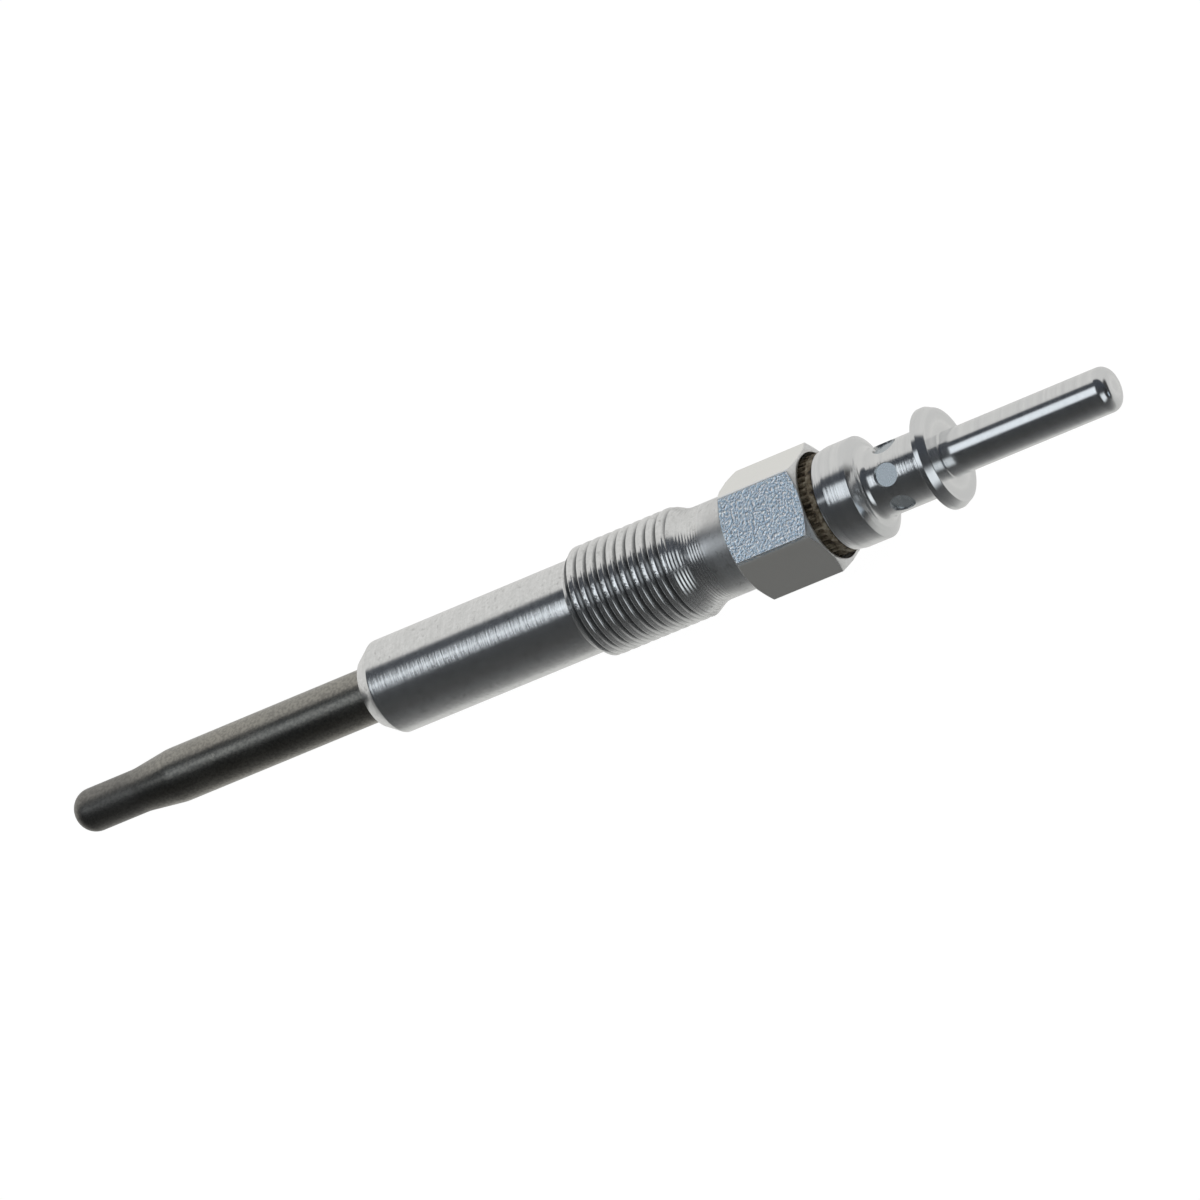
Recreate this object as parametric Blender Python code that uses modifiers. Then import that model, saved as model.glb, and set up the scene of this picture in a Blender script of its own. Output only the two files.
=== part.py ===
"""Sheathed diesel glow plug, lying level on one flat of its hexagon.

Every piece is modelled upright about its own Z axis: the hot tip is at the bottom, at
height 0, and the contact pin is at the top. The empty "glow_plug_axis" then lays the
finished plug along +X, pin forward, with the hexagon's lower flat on the ground and
the origin under the middle of its length.
"""

import math

import bmesh
import bpy
from mathutils import Matrix

MM = 0.001

# Glow tube: drawn alloy sheath, swaged down at its closed tip
TUBE_DIAMETER = 4.86 * MM
TUBE_WALL = 0.6 * MM
TIP_DIAMETER = 3.9 * MM
TIP_LENGTH = 6.85 * MM
TIP_CAP = 1.6 * MM
TIP_INNER_FILLET = 0.47 * MM
TAPER_LENGTH = 3.75 * MM
TUBE_REACH = 21.1 * MM
TUBE_GRIP = 22.0 * MM

# Housing: one turned steel body with cone seat, thread and hexagon
NOSE_DIAMETER = 6.3 * MM
NOSE_CONE_LENGTH = 1.5 * MM
SHANK_DIAMETER = 8.4 * MM
SHANK_LENGTH = 20.4 * MM
THREAD_DIAMETER = 9.9 * MM
THREAD_LENGTH = 11.8 * MM
THREAD_PITCH = 1.0 * MM
THREAD_DEPTH = 0.5 * MM
THREAD_FLANK_ANGLE = math.radians(60.0)
THREAD_START = 0.8 * MM
LEAD_IN_ANGLE = math.radians(45.0)
RUN_OUT_ANGLE = math.radians(27.0)
NECK_DIAMETER = 8.4 * MM
NECK_LENGTH = 4.4 * MM
NECK_FILLET = 0.3 * MM
HEX_ACROSS_FLATS = 10.0 * MM
HEX_LENGTH = 7.75 * MM
HEX_FACE_DIAMETER = 10.1 * MM
HEX_CHAMFER_ANGLE = math.radians(33.0)
UPPER_BORE_DIAMETER = 6.0 * MM
SEAL_SEAT_DIAMETER = 7.2 * MM
RECESS_DIAMETER = 9.48 * MM
RECESS_DEPTH = 1.6 * MM

# Insulating washer between the housing and the terminal
WASHER_DIAMETER = 8.78 * MM
WASHER_STAND = 1.1 * MM
WASHER_CHAMFER = 0.15 * MM

# Terminal: collar, crimped waist, flange and contact pin turned in one piece
COLLAR_DIAMETER = 9.08 * MM
COLLAR_LENGTH = 3.23 * MM
COLLAR_LEAD_DIAMETER = 8.76 * MM
COLLAR_LEAD_LENGTH = 0.9 * MM
COLLAR_FACE_DIAMETER = 7.5 * MM
COLLAR_FACE_LENGTH = 0.47 * MM
COLLAR_FILLET = 0.75 * MM
WAIST_DIAMETER = 6.0 * MM
WAIST_LENGTH = 6.52 * MM
WAIST_FRONT_FILLET = 0.3 * MM
CRIMP_COUNT = 6
CRIMP_DIAMETER = 2.1 * MM
CRIMP_DEPTH = 0.4 * MM
CRIMP_OFFSET = 2.87 * MM
CRIMP_TURN = math.radians(3.7)
FLANGE_DIAMETER = 9.0 * MM
FLANGE_RIM_WIDTH = 0.47 * MM
FLANGE_THICKNESS = 1.17 * MM
FLANGE_FACE_DIAMETER = 8.32 * MM
PIN_DIAMETER = 4.0 * MM
PIN_LENGTH = 16.05 * MM
PIN_ROOT_FILLET = 1.1 * MM
PIN_END_RADIUS = 0.55 * MM
TERMINAL_BORE_DEPTH = 8.4 * MM

# Centre rod, coils and what insulates and seals them
ROD_DIAMETER = 3.2 * MM
POWDER_WALL = 0.63 * MM
ROD_SHOULDER_GAP = 0.8 * MM
ROD_CHAMFER = 0.3 * MM
TUBE_SEAL_LENGTH = 3.0 * MM
HEATING_WIRE = 0.34 * MM
HEATING_PITCH = 0.85 * MM
HEATING_START_DIAMETER = 0.8 * MM
COIL_COVER = 0.3 * MM
REGULATING_WIRE = 0.3 * MM
REGULATING_PITCH = 1.25 * MM
REGULATING_LENGTH = 15.0 * MM
ROD_OVERLAP = 1.6 * MM
COIL_JOINT_GAP = 0.06 * MM

# Running clearance between pieces that seat in one another
FIT = 0.05 * MM

# How far a blank or a cutter stands past what it shapes
BLANK_REACH = 0.1 * MM
GROOVE_REACH = 0.15 * MM
PUNCH_REACH = 0.5 * MM
HEX_CUTTER_REACH = 1.0 * MM

# Facets
ROUND_STEPS = 36
INNER_STEPS = 20
HEX_CUTTER_STEPS = 24
CRIMP_STEPS = 20
SEAL_SECTION_STEPS = 10
COIL_POINTS = 8
ARC_POINTS = 4
TAPER_POINTS = 3
MERGE_DISTANCE = 0.001 * MM
SHARP_ANGLE = math.radians(35.0)

# Heights of the stations along the plug, from the hot tip upwards
Z_TAPER = TIP_LENGTH
Z_TUBE = Z_TAPER + TAPER_LENGTH
Z_NOSE = Z_TUBE + TUBE_REACH
Z_SHANK = Z_NOSE + NOSE_CONE_LENGTH
Z_THREAD = Z_SHANK + SHANK_LENGTH
Z_NECK = Z_THREAD + THREAD_LENGTH
Z_HEX = Z_NECK + NECK_LENGTH
Z_HEX_END = Z_HEX + HEX_LENGTH
Z_COLLAR = Z_HEX_END + WASHER_STAND
Z_WAIST = Z_COLLAR + COLLAR_LENGTH
Z_FLANGE = Z_WAIST + WAIST_LENGTH
Z_PIN = Z_FLANGE + FLANGE_THICKNESS
Z_END = Z_PIN + PIN_LENGTH

Z_TUBE_TOP = Z_NOSE + TUBE_GRIP
Z_RUN_OUT = Z_NECK - (THREAD_DIAMETER - NECK_DIAMETER) / 2 / math.tan(RUN_OUT_ANGLE)
Z_RECESS = Z_HEX_END - RECESS_DEPTH
STEM_DIAMETER = TUBE_DIAMETER - 2 * (TUBE_WALL + POWDER_WALL)
SEAL_SECTION = (SEAL_SEAT_DIAMETER - ROD_DIAMETER) / 2 - 2 * FIT
Z_SEAL_SEAT = Z_RECESS - SEAL_SECTION - 2 * FIT
HEX_CORNER_RADIUS = HEX_ACROSS_FLATS / 2 / math.cos(math.radians(30.0))


def clear_scene():
    for old in list(bpy.data.objects):
        bpy.data.objects.remove(old, do_unlink=True)


def new_collection(name):
    collection = bpy.data.collections.new(name)
    bpy.context.scene.collection.children.link(collection)
    return collection


def material(name, colour, roughness, metallic):
    made = bpy.data.materials.new(name)
    made.use_nodes = True
    shader = made.node_tree.nodes["Principled BSDF"]
    shader.inputs["Base Color"].default_value = (*colour, 1.0)
    shader.inputs["Roughness"].default_value = roughness
    shader.inputs["Metallic"].default_value = metallic
    return made


def arc(centre_radius, centre_height, radius, start_degrees, end_degrees):
    """Points of a round in the profile plane, as (distance from axis, height)."""
    points = []
    for index in range(ARC_POINTS + 1):
        share = index / ARC_POINTS
        angle = math.radians(start_degrees + (end_degrees - start_degrees) * share)
        points.append((centre_radius + radius * math.cos(angle), centre_height + radius * math.sin(angle)))
    return points


def profile_object(name, points, closed):
    """An outline in the XZ plane, as the edges that a Screw modifier turns."""
    mesh = bpy.data.meshes.new(name)
    edges = [(index, index + 1) for index in range(len(points) - 1)]
    if closed:
        edges.append((len(points) - 1, 0))
    mesh.from_pydata([(x, 0.0, z) for x, z in points], edges, [])
    return bpy.data.objects.new(name, mesh)


def turned(name, points, closed, steps, collection, finish):
    """A turned piece: its outline, top to bottom on the outer side, swept round Z."""
    piece = profile_object(name, points, closed)
    collection.objects.link(piece)
    screw = piece.modifiers.new("Turning", "SCREW")
    screw.axis = "Z"
    screw.angle = math.tau
    screw.steps = steps
    screw.render_steps = steps
    screw.use_merge_vertices = True
    screw.merge_threshold = MERGE_DISTANCE
    screw.use_smooth_shade = True
    if finish:
        piece.data.materials.append(finish)
    return piece


def cut(piece, cutter, name):
    boolean = piece.modifiers.new(name, "BOOLEAN")
    boolean.operation = "DIFFERENCE"
    boolean.solver = "EXACT"
    boolean.object = cutter


def as_cutter(tool):
    tool.hide_render = True
    tool.display_type = "WIRE"


def evaluated_mesh(source):
    """The mesh of an object with its modifiers and bevel applied."""
    bpy.context.view_layer.update()
    graph = bpy.context.evaluated_depsgraph_get()
    return bpy.data.meshes.new_from_object(source.evaluated_get(graph))


def housing_profile():
    """Outline of the housing blank, with its bores, before thread and hexagon are cut."""
    thread_radius = THREAD_DIAMETER / 2
    shank_radius = SHANK_DIAMETER / 2
    neck_radius = NECK_DIAMETER / 2
    face_radius = HEX_FACE_DIAMETER / 2
    corner_radius = HEX_CORNER_RADIUS + BLANK_REACH
    chamfer_rise = (corner_radius - face_radius) * math.tan(HEX_CHAMFER_ANGLE)
    lead_in_rise = (thread_radius - shank_radius) / math.tan(LEAD_IN_ANGLE)
    outer = [
        (face_radius, Z_HEX_END),
        (corner_radius, Z_HEX_END - chamfer_rise),
        (corner_radius, Z_HEX + chamfer_rise),
        (face_radius, Z_HEX),
    ]
    outer += arc(neck_radius + NECK_FILLET, Z_HEX - NECK_FILLET, NECK_FILLET, 90, 180)
    outer += [
        (neck_radius, Z_NECK),
        (thread_radius, Z_RUN_OUT),
        (thread_radius, Z_THREAD + lead_in_rise),
        (shank_radius, Z_THREAD),
        (shank_radius, Z_SHANK),
        (NOSE_DIAMETER / 2, Z_NOSE),
    ]
    tube_bore = TUBE_DIAMETER / 2 + FIT
    inner = [
        (tube_bore, Z_NOSE),
        (tube_bore, Z_TUBE_TOP + FIT),
        (UPPER_BORE_DIAMETER / 2, Z_TUBE_TOP + FIT),
        (UPPER_BORE_DIAMETER / 2, Z_SEAL_SEAT),
        (SEAL_SEAT_DIAMETER / 2, Z_SEAL_SEAT),
        (SEAL_SEAT_DIAMETER / 2, Z_RECESS),
        (RECESS_DIAMETER / 2, Z_RECESS),
        (RECESS_DIAMETER / 2, Z_HEX_END),
    ]
    return outer + inner


def hexagon_cutter(cutters):
    """A thick ring with a hexagonal hole, which takes the corners off the turned blank."""
    bottom = Z_HEX - NECK_FILLET - HEX_CUTTER_REACH
    top = Z_HEX_END + HEX_CUTTER_REACH
    middle = (bottom + top) / 2
    bpy.ops.mesh.primitive_cylinder_add(
        vertices=6, radius=HEX_CORNER_RADIUS, depth=top - bottom + 2 * HEX_CUTTER_REACH,
        location=(0, 0, middle))
    prism = bpy.context.active_object
    bpy.ops.mesh.primitive_cylinder_add(
        vertices=HEX_CUTTER_STEPS, radius=HEX_CORNER_RADIUS + 2 * HEX_CUTTER_REACH,
        depth=top - bottom, location=(0, 0, middle))
    ring = bpy.context.active_object
    prism.name = "hexagon_prism"
    ring.name = "hexagon_ring"
    cut(ring, prism, "Hexagonal hole")
    for tool in (prism, ring):
        as_cutter(tool)
        tool.users_collection[0].objects.unlink(tool)
        cutters.objects.link(tool)
    return ring


def thread_cutter(cutters):
    """A right-hand helical V groove: it starts clear of the lead-in and fades at the run-out."""
    root_radius = THREAD_DIAMETER / 2 - THREAD_DEPTH
    tool_height = THREAD_DEPTH + GROOVE_REACH
    half_width = tool_height * math.tan(THREAD_FLANK_ANGLE / 2)
    start = Z_THREAD - THREAD_START
    steps = math.floor((Z_RUN_OUT - start) / THREAD_PITCH * ROUND_STEPS)
    rise = THREAD_PITCH * steps / ROUND_STEPS
    outline = [
        (root_radius + tool_height, start + half_width),
        (root_radius + tool_height, start - half_width),
        (root_radius, start),
    ]
    helix = profile_object("thread_groove_outline", outline, True)
    cutters.objects.link(helix)
    screw = helix.modifiers.new("Helix", "SCREW")
    screw.axis = "Z"
    screw.angle = math.tau * steps / ROUND_STEPS
    screw.screw_offset = rise
    screw.steps = steps
    screw.render_steps = steps
    mesh = evaluated_mesh(helix)
    bpy.data.objects.remove(helix, do_unlink=True)
    shape = bmesh.new()
    shape.from_mesh(mesh)
    bmesh.ops.remove_doubles(shape, verts=shape.verts, dist=MERGE_DISTANCE)
    bmesh.ops.holes_fill(shape, edges=shape.edges, sides=3)
    bmesh.ops.recalc_face_normals(shape, faces=shape.faces)
    fade_length = THREAD_PITCH / 2
    fade_start = start + rise - fade_length
    for corner in shape.verts:
        share = (corner.co.z - fade_start) / fade_length
        lift = tool_height * min(1.0, max(0.0, share))
        grown = 1 + lift / corner.co.xy.length
        corner.co.x *= grown
        corner.co.y *= grown
    half_step = Matrix.Rotation(math.pi / ROUND_STEPS, 4, "Z")
    bmesh.ops.transform(shape, matrix=half_step, verts=shape.verts)
    shape.to_mesh(mesh)
    shape.free()
    groove = bpy.data.objects.new("thread_groove", mesh)
    cutters.objects.link(groove)
    as_cutter(groove)
    return groove


def make_housing(parts, cutters):
    finish = material("zinc_plated_steel", (0.62, 0.64, 0.66), 0.28, 1.0)
    housing = turned("housing", housing_profile(), True, ROUND_STEPS, parts, finish)
    cut(housing, hexagon_cutter(cutters), "Hexagon")
    cut(housing, thread_cutter(cutters), "Thread")
    return housing


def make_glow_tube(parts):
    """Closed-end sheath: round tip, swaged tip section, taper, then plain tube."""
    outer_radius = TUBE_DIAMETER / 2
    tip_radius = TIP_DIAMETER / 2
    inner_radius = outer_radius - TUBE_WALL
    tip_inner_radius = tip_radius - TUBE_WALL
    tip_corner = min(TIP_INNER_FILLET, tip_inner_radius)
    inner = [(0.0, TIP_CAP)]
    inner += arc(tip_inner_radius - tip_corner, TIP_CAP + tip_corner, tip_corner, -90, 0)
    inner += [(tip_inner_radius, Z_TAPER), (inner_radius, Z_TUBE), (inner_radius, Z_TUBE_TOP)]
    outer = [(outer_radius, Z_TUBE_TOP), (outer_radius, Z_TUBE)]
    for index in range(TAPER_POINTS, 0, -1):
        share = index / (TAPER_POINTS + 1)
        swell = 0.5 - 0.5 * math.cos(math.pi * share)
        radius = tip_radius + (outer_radius - tip_radius) * swell
        outer.append((radius, Z_TAPER + TAPER_LENGTH * share))
    outer.append((tip_radius, Z_TAPER))
    outer += arc(0.0, tip_radius, tip_radius, 0, -90)
    finish = material("oxidised_nickel_alloy", (0.09, 0.085, 0.075), 0.42, 0.9)
    return turned("glow_tube", inner + outer, False, INNER_STEPS, parts, finish)


def tip_coil_radius():
    return TIP_DIAMETER / 2 - TUBE_WALL - COIL_COVER - HEATING_WIRE / 2


def rod_coil_radius():
    """Radius at which the straight chords of the coil still clear the rod's stem."""
    clear = STEM_DIAMETER / 2 + FIT + REGULATING_WIRE / 2
    return clear / math.cos(math.pi / COIL_POINTS)


def helix_points(bottom, top, pitch, first_angle, radius_at):
    turns = (top - bottom) / pitch
    count = math.ceil(turns * COIL_POINTS)
    points = []
    for index in range(count + 1):
        share = index / count
        height = bottom + (top - bottom) * share
        angle = first_angle + math.tau * turns * share
        radius = radius_at(height)
        points.append((radius * math.cos(angle), radius * math.sin(angle), height))
    return points, first_angle + math.tau * turns


def wire(name, points, wire_radius, collection):
    """A round wire through the points, closed at both ends, as a mesh."""
    curve = bpy.data.curves.new(name, "CURVE")
    curve.dimensions = "3D"
    curve.bevel_depth = wire_radius
    curve.bevel_resolution = 2
    curve.use_fill_caps = True
    spline = curve.splines.new("POLY")
    spline.points.add(len(points) - 1)
    for point, place in zip(spline.points, points):
        point.co = (*place, 1.0)
    guide = bpy.data.objects.new(name + "_path", curve)
    collection.objects.link(guide)
    mesh = evaluated_mesh(guide)
    place = guide.matrix_world.copy()
    bpy.data.objects.remove(guide, do_unlink=True)
    shape = bmesh.new()
    shape.from_mesh(mesh)
    bmesh.ops.remove_doubles(shape, verts=shape.verts, dist=MERGE_DISTANCE)
    bmesh.ops.recalc_face_normals(shape, faces=shape.faces)
    shape.to_mesh(mesh)
    shape.free()
    mesh.name = name
    made = bpy.data.objects.new(name, mesh)
    made.matrix_world = place
    collection.objects.link(made)
    return made


def coil_paths():
    """Centre lines of the two coils, welded end to end where the tip section ends."""
    tip_radius = tip_coil_radius()
    rod_radius = rod_coil_radius()
    bottom = TIP_CAP + FIT + HEATING_WIRE / 2
    joint = Z_TAPER + HEATING_WIRE
    top = joint + REGULATING_LENGTH
    start_radius = min(HEATING_START_DIAMETER / 2, tip_radius)

    def heating_radius(height):
        share = min(1.0, (height - bottom) / HEATING_PITCH)
        return start_radius + (tip_radius - start_radius) * share

    def regulating_radius(height):
        share = min(1.0, (height - joint) / TAPER_LENGTH)
        return tip_radius + (rod_radius - tip_radius) * share

    heating, joint_angle = helix_points(bottom, joint, HEATING_PITCH, 0.0, heating_radius)
    turn = COIL_JOINT_GAP / tip_radius
    regulating, _ = helix_points(
        joint + COIL_JOINT_GAP, top, REGULATING_PITCH, joint_angle + turn, regulating_radius)
    return heating, regulating


def make_coils(parts):
    heating, regulating = coil_paths()
    pieces = []
    for name, path, diameter, colour in (
            ("heating_coil", heating, HEATING_WIRE, (0.32, 0.30, 0.28)),
            ("regulating_coil", regulating, REGULATING_WIRE, (0.55, 0.50, 0.42))):
        coil = wire(name, path, diameter / 2, parts)
        coil.data.materials.append(material(name + "_wire", colour, 0.4, 1.0))
        pieces.append(coil)
    return pieces


def rod_end_height():
    """Height of the stem's lower end, a little way inside the regulating coil."""
    return Z_TAPER + HEATING_WIRE + REGULATING_LENGTH - ROD_OVERLAP


def powder_channels(cutters):
    """The spaces that the two coils fill in the packed powder, open at both ends."""
    heating, regulating = coil_paths()
    x, y, z = heating[0]
    channels = []
    below = [(x, y, z - HEATING_WIRE - FIT)]
    for name, path, diameter in (
            ("heating_channel", below + heating + regulating[:2], HEATING_WIRE),
            ("regulating_channel", regulating, REGULATING_WIRE)):
        channel = wire(name, path, diameter / 2 + FIT, cutters)
        as_cutter(channel)
        channels.append(channel)
    return channels


def make_insulating_powder(parts, cutters):
    """Packed magnesia that fills the sheath round the coils and the rod's stem."""
    outer_radius = TUBE_DIAMETER / 2 - TUBE_WALL - FIT
    tip_radius = TIP_DIAMETER / 2 - TUBE_WALL - FIT
    tip_corner = min(TIP_INNER_FILLET, tip_radius)
    stem_bore = STEM_DIAMETER / 2 + FIT
    top = Z_TUBE_TOP - TUBE_SEAL_LENGTH - FIT
    profile = [
        (0.0, rod_end_height() - FIT),
        (stem_bore, rod_end_height() - FIT),
        (stem_bore, top),
        (outer_radius, top),
        (outer_radius, Z_TUBE + FIT),
        (tip_radius, Z_TAPER + FIT),
        (tip_radius, TIP_CAP + FIT + tip_corner),
        (tip_radius - tip_corner, TIP_CAP + FIT),
        (0.0, TIP_CAP + FIT),
    ]
    finish = material("magnesia_powder", (0.86, 0.84, 0.80), 0.95, 0.0)
    powder = turned("insulating_powder", profile, False, INNER_STEPS, parts, finish)
    for channel in powder_channels(cutters):
        cut(powder, channel, channel.name)
    return powder


def make_tube_seal(parts):
    """Rubber bush that stops the open end of the sheath round the stem."""
    outer_radius = TUBE_DIAMETER / 2 - TUBE_WALL - FIT
    stem_bore = STEM_DIAMETER / 2 + FIT
    bottom = Z_TUBE_TOP - TUBE_SEAL_LENGTH
    profile = [
        (stem_bore, Z_TUBE_TOP),
        (outer_radius, Z_TUBE_TOP),
        (outer_radius, bottom),
        (stem_bore, bottom),
    ]
    finish = material("tube_seal_rubber", (0.05, 0.05, 0.05), 0.6, 0.0)
    return turned("tube_seal", profile, True, INNER_STEPS, parts, finish)


def make_centre_rod(parts):
    """Steel rod that carries the current from the terminal down to the coils."""
    rod_radius = ROD_DIAMETER / 2
    stem_radius = STEM_DIAMETER / 2
    shoulder = Z_TUBE_TOP + ROD_SHOULDER_GAP
    top = Z_COLLAR + TERMINAL_BORE_DEPTH - 2 * FIT
    profile = [
        (0.0, top),
        (rod_radius - ROD_CHAMFER, top),
        (rod_radius, top - ROD_CHAMFER),
        (rod_radius, shoulder + rod_radius - stem_radius),
        (stem_radius, shoulder),
        (stem_radius, rod_end_height() + ROD_CHAMFER),
        (stem_radius - ROD_CHAMFER, rod_end_height()),
        (0.0, rod_end_height()),
    ]
    finish = material("bright_steel_rod", (0.55, 0.54, 0.52), 0.35, 1.0)
    return turned("centre_rod", profile, False, INNER_STEPS, parts, finish)


def make_body_seal(parts):
    """Rubber O-ring that seals the rod in the housing, under the washer."""
    mean_radius = (SEAL_SEAT_DIAMETER + ROD_DIAMETER) / 4
    bpy.ops.mesh.primitive_torus_add(
        major_segments=INNER_STEPS, minor_segments=SEAL_SECTION_STEPS, major_radius=mean_radius,
        minor_radius=SEAL_SECTION / 2, location=(0, 0, Z_SEAL_SEAT + FIT + SEAL_SECTION / 2))
    ring = bpy.context.active_object
    ring.name = "body_seal"
    ring.data.name = "body_seal"
    ring.users_collection[0].objects.unlink(ring)
    parts.objects.link(ring)
    ring.data.shade_smooth()
    ring.data.materials.append(material("body_seal_rubber", (0.04, 0.045, 0.04), 0.55, 0.0))
    return ring


def make_insulating_washer(parts):
    """Moulded brown washer that keeps the live terminal off the earthed housing."""
    outer_radius = WASHER_DIAMETER / 2
    bore = ROD_DIAMETER / 2 + FIT
    top = Z_COLLAR - FIT
    bottom = Z_RECESS + FIT
    profile = [
        (bore, top),
        (outer_radius - WASHER_CHAMFER, top),
        (outer_radius, top - WASHER_CHAMFER),
        (outer_radius, bottom + WASHER_CHAMFER),
        (outer_radius - WASHER_CHAMFER, bottom),
        (bore, bottom),
    ]
    finish = material("brown_insulation", (0.16, 0.12, 0.08), 0.75, 0.0)
    return turned("insulating_washer", profile, True, ROUND_STEPS, parts, finish)


def crimp_cutter(cutters):
    """Flat-ended round punches, evenly spaced round the waist."""
    floor_radius = WAIST_DIAMETER / 2 - CRIMP_DEPTH
    length = CRIMP_DEPTH + PUNCH_REACH
    height = Z_WAIST + CRIMP_OFFSET
    punches = []
    for index in range(CRIMP_COUNT):
        angle = CRIMP_TURN + index * math.tau / CRIMP_COUNT
        distance = floor_radius + length / 2
        bpy.ops.mesh.primitive_cylinder_add(
            vertices=CRIMP_STEPS, radius=CRIMP_DIAMETER / 2, depth=length,
            location=(distance * math.cos(angle), distance * math.sin(angle), height),
            rotation=(0.0, math.pi / 2, angle))
        punch = bpy.context.active_object
        punch.name = "crimp_punch_%d" % (index + 1)
        as_cutter(punch)
        punch.users_collection[0].objects.unlink(punch)
        cutters.objects.link(punch)
        punches.append(punch)
    return punches


def make_terminal(parts, cutters):
    """Round terminal, bored from below for the rod and crimped on to it at the waist."""
    pin_radius = PIN_DIAMETER / 2
    flange_radius = FLANGE_DIAMETER / 2
    waist_radius = WAIST_DIAMETER / 2
    collar_radius = COLLAR_DIAMETER / 2
    bore = ROD_DIAMETER / 2 + FIT
    face_height = Z_WAIST + COLLAR_FACE_LENGTH
    face_radius = COLLAR_FACE_DIAMETER / 2
    profile = [(0.0, Z_END)]
    profile += arc(pin_radius - PIN_END_RADIUS, Z_END - PIN_END_RADIUS, PIN_END_RADIUS, 90, 0)
    profile += arc(
        pin_radius + PIN_ROOT_FILLET, Z_PIN + PIN_ROOT_FILLET, PIN_ROOT_FILLET, 180, 270)
    profile += [
        (FLANGE_FACE_DIAMETER / 2, Z_PIN),
        (flange_radius, Z_FLANGE + FLANGE_RIM_WIDTH),
        (flange_radius, Z_FLANGE),
    ]
    profile += arc(
        waist_radius + WAIST_FRONT_FILLET, Z_FLANGE - WAIST_FRONT_FILLET, WAIST_FRONT_FILLET, 90, 180)
    profile += arc(waist_radius + COLLAR_FILLET, face_height + COLLAR_FILLET, COLLAR_FILLET, 180, 270)
    profile += [
        (face_radius, face_height),
        (collar_radius, Z_WAIST),
        (collar_radius, Z_COLLAR + COLLAR_LEAD_LENGTH),
        (COLLAR_LEAD_DIAMETER / 2, Z_COLLAR),
        (bore, Z_COLLAR),
        (bore, Z_COLLAR + TERMINAL_BORE_DEPTH),
        (0.0, Z_COLLAR + TERMINAL_BORE_DEPTH),
    ]
    finish = material("zinc_plated_terminal", (0.66, 0.68, 0.70), 0.22, 1.0)
    terminal = turned("terminal", profile, False, ROUND_STEPS, parts, finish)
    for punch in crimp_cutter(cutters):
        cut(terminal, punch, punch.name)
    return terminal


def lay_down(pieces):
    """Turns the upright plug along +X and rests the hexagon's lower flat on Z = 0."""
    axis = bpy.data.objects.new("glow_plug_axis", None)
    bpy.context.scene.collection.objects.link(axis)
    for piece in pieces:
        piece.parent = axis
    axis.rotation_euler = (0.0, math.pi / 2, 0.0)
    axis.location = (-Z_END / 2, 0.0, HEX_ACROSS_FLATS / 2)


def shade(pieces):
    """Smooth shading with sharp corners where turned faces meet."""
    for piece in pieces:
        for polygon in piece.data.polygons:
            polygon.use_smooth = True
        piece.data.set_sharp_from_angle(angle=SHARP_ANGLE)


def main():
    clear_scene()
    parts = new_collection("glow_plug")
    cutters = new_collection("cutters")
    pieces = [
        make_housing(parts, cutters),
        make_glow_tube(parts),
        *make_coils(parts),
        make_insulating_powder(parts, cutters),
        make_tube_seal(parts),
        make_centre_rod(parts),
        make_body_seal(parts),
        make_insulating_washer(parts),
        make_terminal(parts, cutters),
    ]
    shade(pieces)
    lay_down(pieces + list(cutters.objects))


main()
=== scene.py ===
import math

import bpy
from mathutils import Matrix, Vector


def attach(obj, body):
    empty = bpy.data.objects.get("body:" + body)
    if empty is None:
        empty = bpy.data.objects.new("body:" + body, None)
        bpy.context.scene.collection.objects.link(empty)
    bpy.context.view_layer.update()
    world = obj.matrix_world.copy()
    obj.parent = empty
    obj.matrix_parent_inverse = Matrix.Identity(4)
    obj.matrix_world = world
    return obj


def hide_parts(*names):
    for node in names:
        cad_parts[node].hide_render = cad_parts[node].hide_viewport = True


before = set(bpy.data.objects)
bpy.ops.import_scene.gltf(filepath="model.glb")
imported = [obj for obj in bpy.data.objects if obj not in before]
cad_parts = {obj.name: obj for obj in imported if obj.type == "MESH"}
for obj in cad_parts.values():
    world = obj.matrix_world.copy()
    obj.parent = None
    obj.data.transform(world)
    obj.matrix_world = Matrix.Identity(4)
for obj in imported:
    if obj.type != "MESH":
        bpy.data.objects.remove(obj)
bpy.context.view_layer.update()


# Glow tube: the drawn nickel alloy sheath that reaches into the combustion chamber. Its
# closed tip is swaged down and rounded, and a smooth taper leads back to the plain tube,
# whose open rear end is pressed into the body. Firing has turned it dark brown-grey.

MM = 0.001
AXIS_HEIGHT = 5.0 * MM


def select_only(piece):
    bpy.ops.object.select_all(action="DESELECT")
    piece.select_set(True)
    bpy.context.view_layer.objects.active = piece


def rounded(corners, step_degrees):
    """Outline points in metres from (x, radius, round) corners in mm, each corner rounded."""
    points = []
    for index, (x, r, bend) in enumerate(corners):
        here = Vector((x, r))
        if bend == 0 or index in (0, len(corners) - 1):
            points.append(here * MM)
            continue
        back = (Vector(corners[index - 1][:2]) - here).normalized()
        ahead = (Vector(corners[index + 1][:2]) - here).normalized()
        half = back.angle(ahead) / 2
        reach = bend / math.tan(half)
        centre = here + (back + ahead).normalized() * (bend / math.sin(half))
        start = here + back * reach - centre
        end = here + ahead * reach - centre
        turn = math.pi - 2 * half
        if start.x * end.y - start.y * end.x < 0:
            turn = -turn
        count = max(2, round(math.degrees(abs(turn)) / step_degrees))
        for step in range(count + 1):
            angle = turn * step / count
            swung = Vector((
                start.x * math.cos(angle) - start.y * math.sin(angle),
                start.x * math.sin(angle) + start.y * math.cos(angle)))
            points.append((centre + swung) * MM)
    return points


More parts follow.
